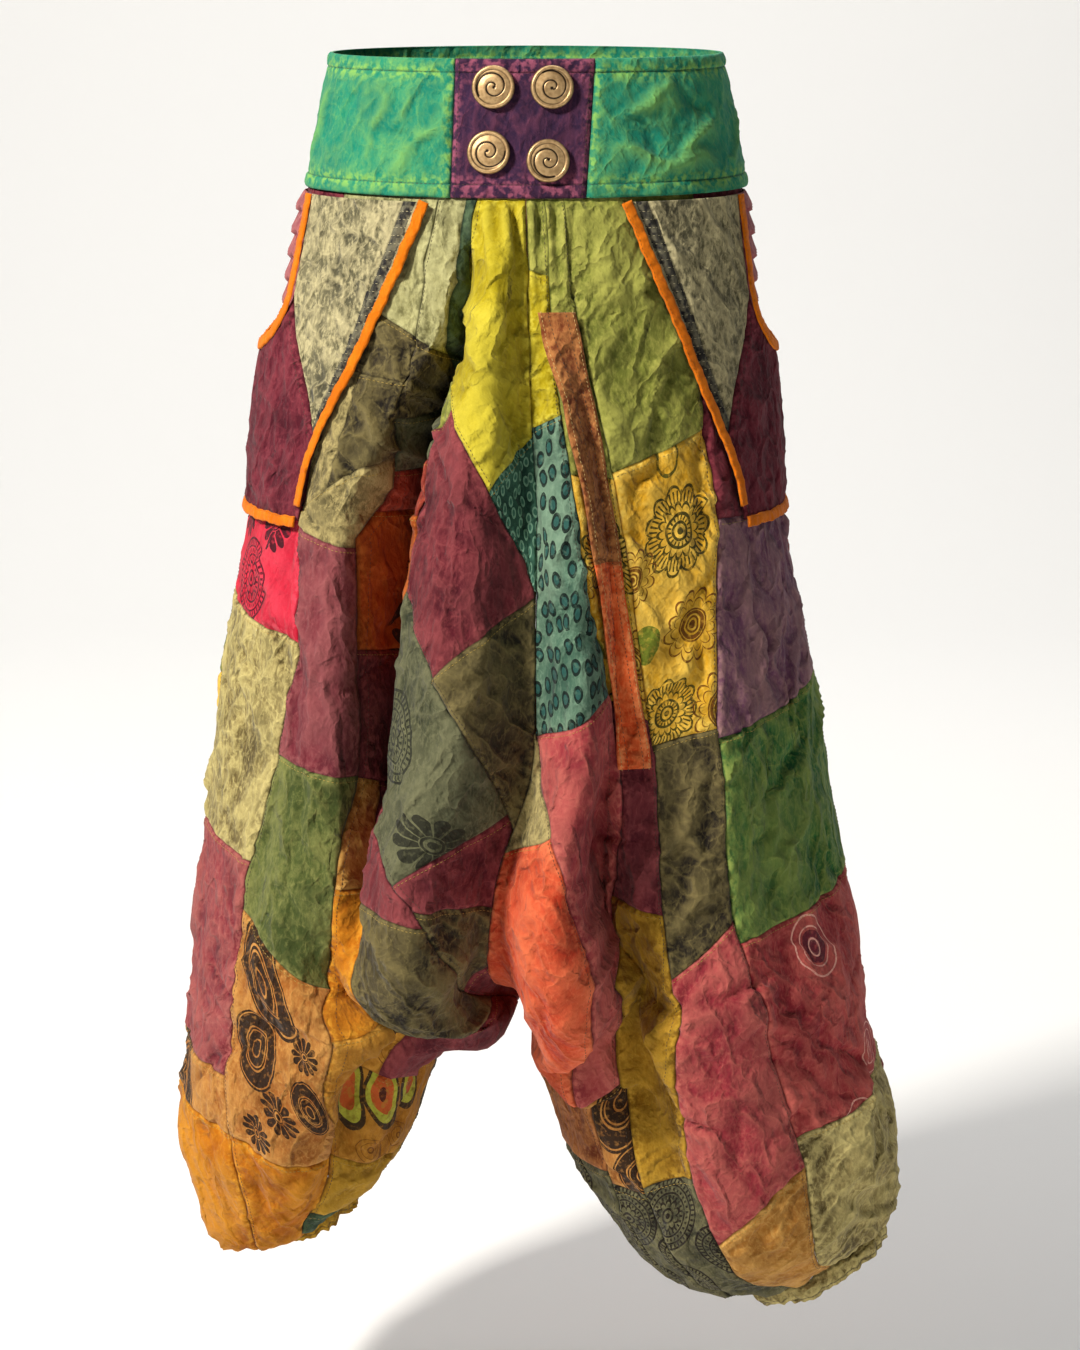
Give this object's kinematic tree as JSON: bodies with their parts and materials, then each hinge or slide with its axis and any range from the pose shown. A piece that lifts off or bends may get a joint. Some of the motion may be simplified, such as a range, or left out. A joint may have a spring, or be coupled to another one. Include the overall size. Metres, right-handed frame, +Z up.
{
  "type": "harem pants",
  "caption": "Patchwork harem pants with a wide waistband, low crotch, deep front pleats, side pockets bound in contrast tape and gathered elastic cuffs, worn shape, hollow.",
  "frame": {"origin": "centre of the waist opening, level with the top edge of the waistband", "axes": "+Z up out of the waist, -Y the wearer's front, +X the wearer's left"},
  "size_m": [0.5842, 0.4127, 1.0199],
  "materials": {
    "green_cotton": "matte tie-dyed cotton",
    "purple_cotton": "matte washed cotton, dark in the middle",
    "patchwork_cotton": "matte cotton patches, acid-washed and block-printed",
    "strap_cotton": "matte cotton",
    "pin_tucked_cotton": "matte cotton in stitched tucks",
    "washed_cotton": "acid-washed grey cotton",
    "maroon_cotton": "matte washed cotton",
    "orange_binding": "bias binding",
    "bronze_button": "antiqued bronze-coloured, raised rim"
  },
  "bodies": {
    "root": {"band_front_centre": "purple_cotton", "band_front_left": "green_cotton", "band_front_right": "green_cotton", "band_back": "green_cotton", "button_upper_right": "bronze_button", "button_upper_left": "bronze_button", "button_lower_right": "bronze_button", "button_lower_left": "bronze_button", "front_strap": "strap_cotton", "right_drape_top": "patchwork_cotton", "right_drape_mid": "patchwork_cotton", "right_drape_low": "patchwork_cotton", "right_pleat_floor": "patchwork_cotton", "right_front": "patchwork_cotton", "right_side": "patchwork_cotton", "right_side_back": "patchwork_cotton", "right_seat_outer": "patchwork_cotton", "right_seat_inner": "patchwork_cotton", "right_cuff": "patchwork_cotton", "right_pocket_tuck_panel": "pin_tucked_cotton", "right_pocket_front_leaf": "washed_cotton", "right_pocket_back_leaf": "washed_cotton", "right_pocket_bag": "maroon_cotton", "right_pocket_front_binding": "orange_binding", "right_pocket_back_binding": "orange_binding", "right_pocket_mouth_binding": "orange_binding", "right_pocket_hem_binding": "orange_binding", "left_drape_low": "patchwork_cotton", "left_drape_top": "patchwork_cotton", "left_inner": "patchwork_cotton", "left_front": "patchwork_cotton", "left_side": "patchwork_cotton", "left_side_back": "patchwork_cotton", "left_seat_outer": "patchwork_cotton", "left_seat_inner": "patchwork_cotton", "left_cuff": "patchwork_cotton", "left_pocket_tuck_panel": "pin_tucked_cotton", "left_pocket_front_leaf": "washed_cotton", "left_pocket_back_leaf": "washed_cotton", "left_pocket_bag": "maroon_cotton", "left_pocket_front_binding": "orange_binding", "left_pocket_back_binding": "orange_binding", "left_pocket_mouth_binding": "orange_binding", "left_pocket_hem_binding": "orange_binding"}
  },
  "joints": []
}
